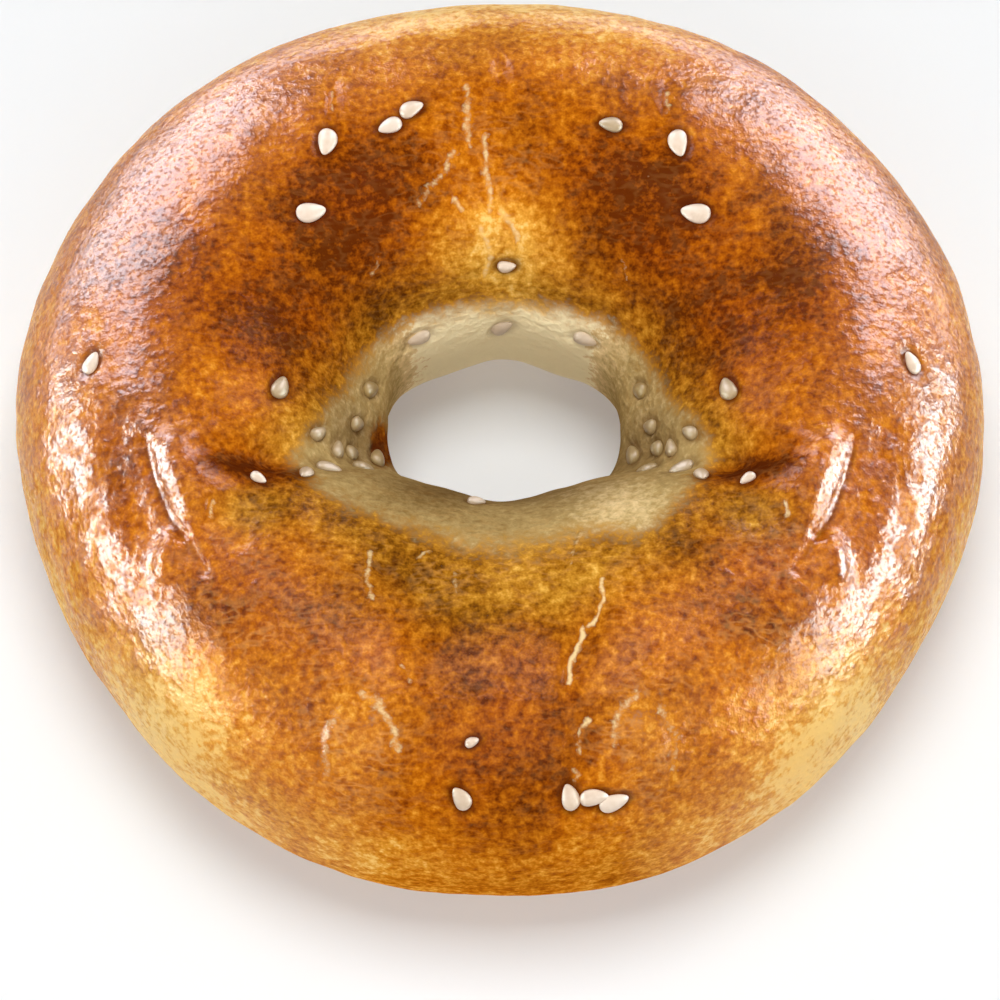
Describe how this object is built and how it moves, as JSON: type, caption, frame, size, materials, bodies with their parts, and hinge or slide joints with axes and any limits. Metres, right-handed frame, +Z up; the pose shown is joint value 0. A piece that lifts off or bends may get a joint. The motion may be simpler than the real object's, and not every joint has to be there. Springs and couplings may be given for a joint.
{
  "type": "bagel",
  "caption": "Baked ring of dough with a glossy browned crust, a pale eye-shaped hole and a few sesame seeds, lying flat.",
  "frame": {"origin": "middle of the outline, on the plane that the flat foot rests on", "axes": "+Z up through the hole, +X to the right along the longest side, +Y to the back of the bagel as pictured"},
  "size_m": [0.11, 0.1058, 0.0385],
  "materials": {
    "crust": "egg-washed, browned and finely wrinkled, pale and matt round the hole",
    "sesame_seed": "hulled sesame, matt ivory"
  },
  "bodies": {
    "root": {"bagel": "crust"}
  },
  "joints": []
}
